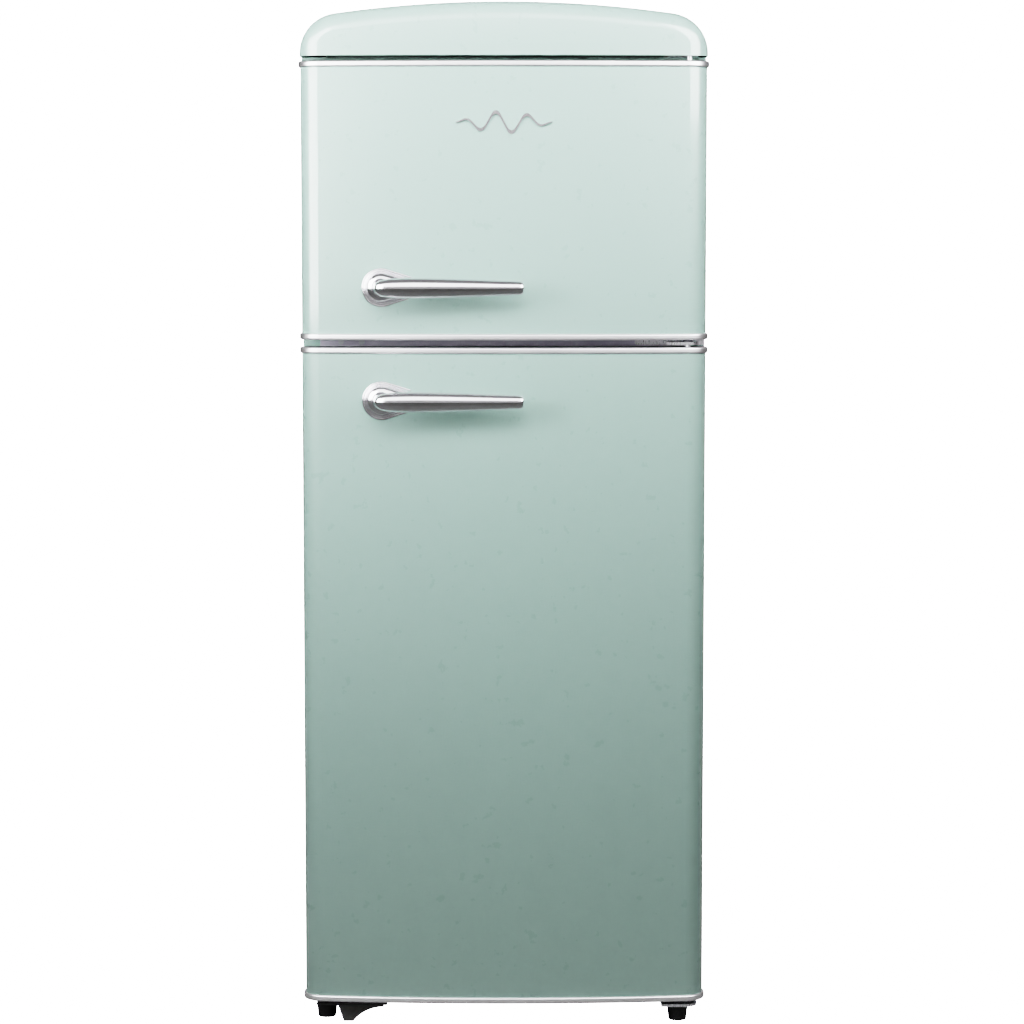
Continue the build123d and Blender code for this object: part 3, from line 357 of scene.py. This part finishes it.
def plate_ring(centre, inset, y):
    """Teardrop of the handle plate at one inset: a big arc, two straight edges and a tip."""
    radius = PLATE_INSET - inset
    tip = max(TIP - inset, 0.6 * MM)
    tip_x = centre.x + (radius - tip) / sin(TAPER)
    corner = pi / 2 - TAPER
    points = []
    for i in range(PLATE_ARC + 1):
        angle = corner + (2 * pi - 2 * corner) * i / PLATE_ARC
        points.append((centre.x + radius * cos(angle), centre.z + radius * sin(angle)))
    low = points[-1]
    tip_low = (tip_x + tip * cos(corner), centre.z - tip * sin(corner))
    for i in range(1, PLATE_EDGE):
        share = i / PLATE_EDGE
        points.append(tuple(a + (b - a) * share for a, b in zip(low, tip_low)))
    for i in range(PLATE_TIP + 1):
        angle = -corner + 2 * corner * i / PLATE_TIP
        points.append((tip_x + tip * cos(angle), centre.z + tip * sin(angle)))
    tip_high, high = points[-1], points[0]
    for i in range(1, PLATE_EDGE):
        share = i / PLATE_EDGE
        points.append(tuple(a + (b - a) * share for a, b in zip(tip_high, high)))
    return [(x, y, z) for x, z in points]


def handle_plate(handle, body):
    """Stepped teardrop plate with a flange, two grooves and a crowned middle."""
    node = f"{handle}_base"
    low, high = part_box(node)
    centre = Vector((low[0] + PLATE_INSET, 0, (low[2] + high[2]) / 2))
    foot = low[1] + PLATE_PROFILE[-1][1] * MM
    rings = []
    for inset, rise in PLATE_PROFILE:
        ring = plate_ring(centre, inset * MM, foot - rise * MM)
        if rise < 0:
            front = DOOR_FRONT + 0.4 * MM
            ring = [(x, front + x * x / (2 * DOOR_BOW), z) for x, _, z in ring]
        rings.append(ring)
    mesh = bmesh.new()
    loft_mesh(mesh, rings)
    return finish_piece(f"{handle}_plate", mesh, body, "chrome", node)


def handle_lever(handle, body):
    """Lever with an egg-shaped nose and a long taper, on a flared neck."""
    node = f"{handle}_lever"
    low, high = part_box(node)
    height = (high[2] - low[2]) / 2
    middle_z = (high[2] + low[2]) / 2
    depth = height * LEVER_DEPTH
    axis_y = low[1] + depth
    left, right = low[0] + NECK_OVERHANG, high[0]
    rings = []
    for place in LEVER_STATIONS:
        share = blend_through(LEVER_OUTLINE, place)
        if place < NOSE_END:
            share = NOSE_FULLNESS * sqrt(place * (2 * NOSE_LENGTH - place)) / NOSE_LENGTH
        x = left + (right - left) * place
        rings.append([
            (x, axis_y - depth * share * cos(2 * pi * i / ROUND_STEPS),
             middle_z + height * share * sin(2 * pi * i / ROUND_STEPS))
            for i in range(ROUND_STEPS)
        ])
    mesh = bmesh.new()
    loft_mesh(mesh, rings)
    plate_low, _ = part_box(f"{handle}_base")
    centre_x = plate_low[0] + PLATE_INSET
    start, stop = plate_low[1] + NECK_SINK, axis_y
    rings = []
    for share, radius in NECK_PROFILE:
        y = start + (stop - start) * share
        rings.append([
            (centre_x + radius * MM * cos(2 * pi * i / ROUND_STEPS), y,
             middle_z + radius * MM * sin(2 * pi * i / ROUND_STEPS))
            for i in range(ROUND_STEPS)
        ])
    loft_mesh(mesh, rings)
    return finish_piece(f"{handle}_bar", mesh, body, "chrome", node)


# ---- Studio -------------------------------------------------------------------------------
KEY_SPREAD, STRIP_SPREAD = 88.0, 80.0
STRIP_HEIGHT = 1.2
SIDE_STRIPS = (                      # name, place, width, radiance
    ("left_strip", (-1.74, -1.40, 1.66), 0.55, 5.6),
    ("right_strip", (1.80, -1.32, 1.95), 0.55, 4.7),
)
SIDE_PANELS = (                      # name, place, width and height, radiance
    ("left_panel", (-1.44, -1.50, 1.62), (1.70, 1.24), 12.0),
    ("right_panel", (1.44, -1.50, 2.00), (1.70, 1.20), 12.0),
)
FLOOR_HALF = 9.0
FLOOR_GLOW = 16.0
BACKDROP_GLOW = 20.0
ROOM_LIGHT = ((0.5, 0.04), (0.9, 0.22))     # share of the way from nadir to zenith, brightness


def stage_plane(name, corners, material):
    mesh = bpy.data.meshes.new(name)
    mesh.from_pydata(corners, [], [(0, 1, 2, 3)])
    plane = bpy.data.objects.new(name, mesh)
    bpy.context.scene.collection.objects.link(plane)
    assign(plane, material)


def floor_material():
    """Pale floor that shows white to the camera and bounces less light at the object."""
    shader = Shader("studio_floor")
    drift(shader, (0.30, 0.30, 0.30), 2.0, 0.01)
    shader.roughness(shader.noise(6.0), 0.7, 0.8)
    tree = shader.tree
    glow = tree.nodes.new("ShaderNodeEmission")
    glow.inputs["Strength"].default_value = FLOOR_GLOW
    both = tree.nodes.new("ShaderNodeAddShader")
    ray = tree.nodes.new("ShaderNodeLightPath")
    mix = tree.nodes.new("ShaderNodeMixShader")
    tree.links.new(shader.principled.outputs["BSDF"], both.inputs[0])
    tree.links.new(glow.outputs["Emission"], both.inputs[1])
    tree.links.new(ray.outputs["Is Camera Ray"], mix.inputs["Fac"])
    tree.links.new(shader.principled.outputs["BSDF"], mix.inputs[1])
    tree.links.new(both.outputs["Shader"], mix.inputs[2])
    tree.links.new(mix.outputs["Shader"], tree.nodes["Material Output"].inputs["Surface"])
    return shader.material


def add_softbox(name, place, target, size, radiance, spread=180.0, lights=True, reflects=True):
    """Rectangular light of an even brightness, unseen itself; it lights, is reflected, or both."""
    data = bpy.data.lights.new(name, "AREA")
    data.shape = "RECTANGLE"
    data.size, data.size_y = size
    data.energy = radiance * pi * size[0] * size[1]
    data.spread = radians(spread)
    lamp = bpy.data.objects.new(name, data)
    lamp.location = place
    aim = Vector(target) - Vector(place)
    lamp.rotation_euler = aim.to_track_quat("-Z", "Y").to_euler()
    lamp.visible_camera = False
    lamp.visible_diffuse = lights
    lamp.visible_glossy = reflects
    bpy.context.scene.collection.objects.link(lamp)


def beside_doors(place):
    """Point near the doors, level with a side light, that it is aimed at."""
    return (0.2 * place[0], -0.26, place[2])


def add_world():
    """White behind the object; dimmer around it, and brighter overhead."""
    world = bpy.data.worlds.new("studio")
    bpy.context.scene.world = world
    world.use_nodes = True
    tree = world.node_tree
    backdrop = tree.nodes["Background"]
    backdrop.inputs["Color"].default_value = (1, 1, 1, 1)
    backdrop.inputs["Strength"].default_value = BACKDROP_GLOW
    room = tree.nodes.new("ShaderNodeBackground")
    direction = tree.nodes.new("ShaderNodeTexCoord")
    split = tree.nodes.new("ShaderNodeSeparateXYZ")
    ramp = tree.nodes.new("ShaderNodeValToRGB")
    height = tree.nodes.new("ShaderNodeMapRange")
    height.inputs["From Min"].default_value = -1.0
    for element, (place, level) in zip(ramp.color_ramp.elements, ROOM_LIGHT):
        element.position = place
        element.color = (level, level, level, 1)
    tree.links.new(direction.outputs["Generated"], split.inputs["Vector"])
    tree.links.new(split.outputs["Z"], height.inputs["Value"])
    tree.links.new(height.outputs["Result"], ramp.inputs["Fac"])
    tree.links.new(ramp.outputs["Color"], room.inputs["Color"])
    ray = tree.nodes.new("ShaderNodeLightPath")
    mix = tree.nodes.new("ShaderNodeMixShader")
    tree.links.new(ray.outputs["Is Camera Ray"], mix.inputs["Fac"])
    tree.links.new(room.outputs["Background"], mix.inputs[1])
    tree.links.new(backdrop.outputs["Background"], mix.inputs[2])
    tree.links.new(mix.outputs["Shader"], tree.nodes["World Output"].inputs["Surface"])
    bpy.context.scene.view_settings.view_transform = "Filmic"
    bpy.context.scene.view_settings.look = "High Contrast"


def add_studio():
    half = FLOOR_HALF
    corners = [(-half, -half, 0), (half, -half, 0), (half, half, 0), (-half, half, 0)]
    stage_plane("studio_floor", corners, floor_material())
    add_world()
    add_softbox("key_softbox", (0, -1.9, 2.5), (0, -0.29, 1.9), (2.4, 0.9), 2.8, KEY_SPREAD,
                reflects=False)
    add_softbox("front_panel", (0, -2.36, 2.24), (0, -0.3, 1.1), (2.4, 1.4), 3.0, lights=False)
    add_softbox("far_panel", (0, -5.6, 1.25), (0, -0.3, 1.25), (5.0, 1.0), 0.42)
    for name, place, width, radiance in SIDE_STRIPS:
        add_softbox(name, place, beside_doors(place), (width, STRIP_HEIGHT), radiance, STRIP_SPREAD,
                    reflects=False)
    for name, place, size, radiance in SIDE_PANELS:
        add_softbox(name, place, beside_doors(place), size, radiance, lights=False)
    add_softbox("rear_softbox", (0, 2.6, 2.2), (0, 0.33, 0.8), (1.8, 1.2), 5.0)


# ---- Build --------------------------------------------------------------------------------
materials = make_materials()
dress_nodes(materials)
for handle, door in (("freezer_handle", "freezer_door"), ("fridge_handle", "fridge_door")):
    handle_plate(handle, door)
    handle_lever(handle, door)
add_camera()
add_studio()


bpy.context.view_layer.update()
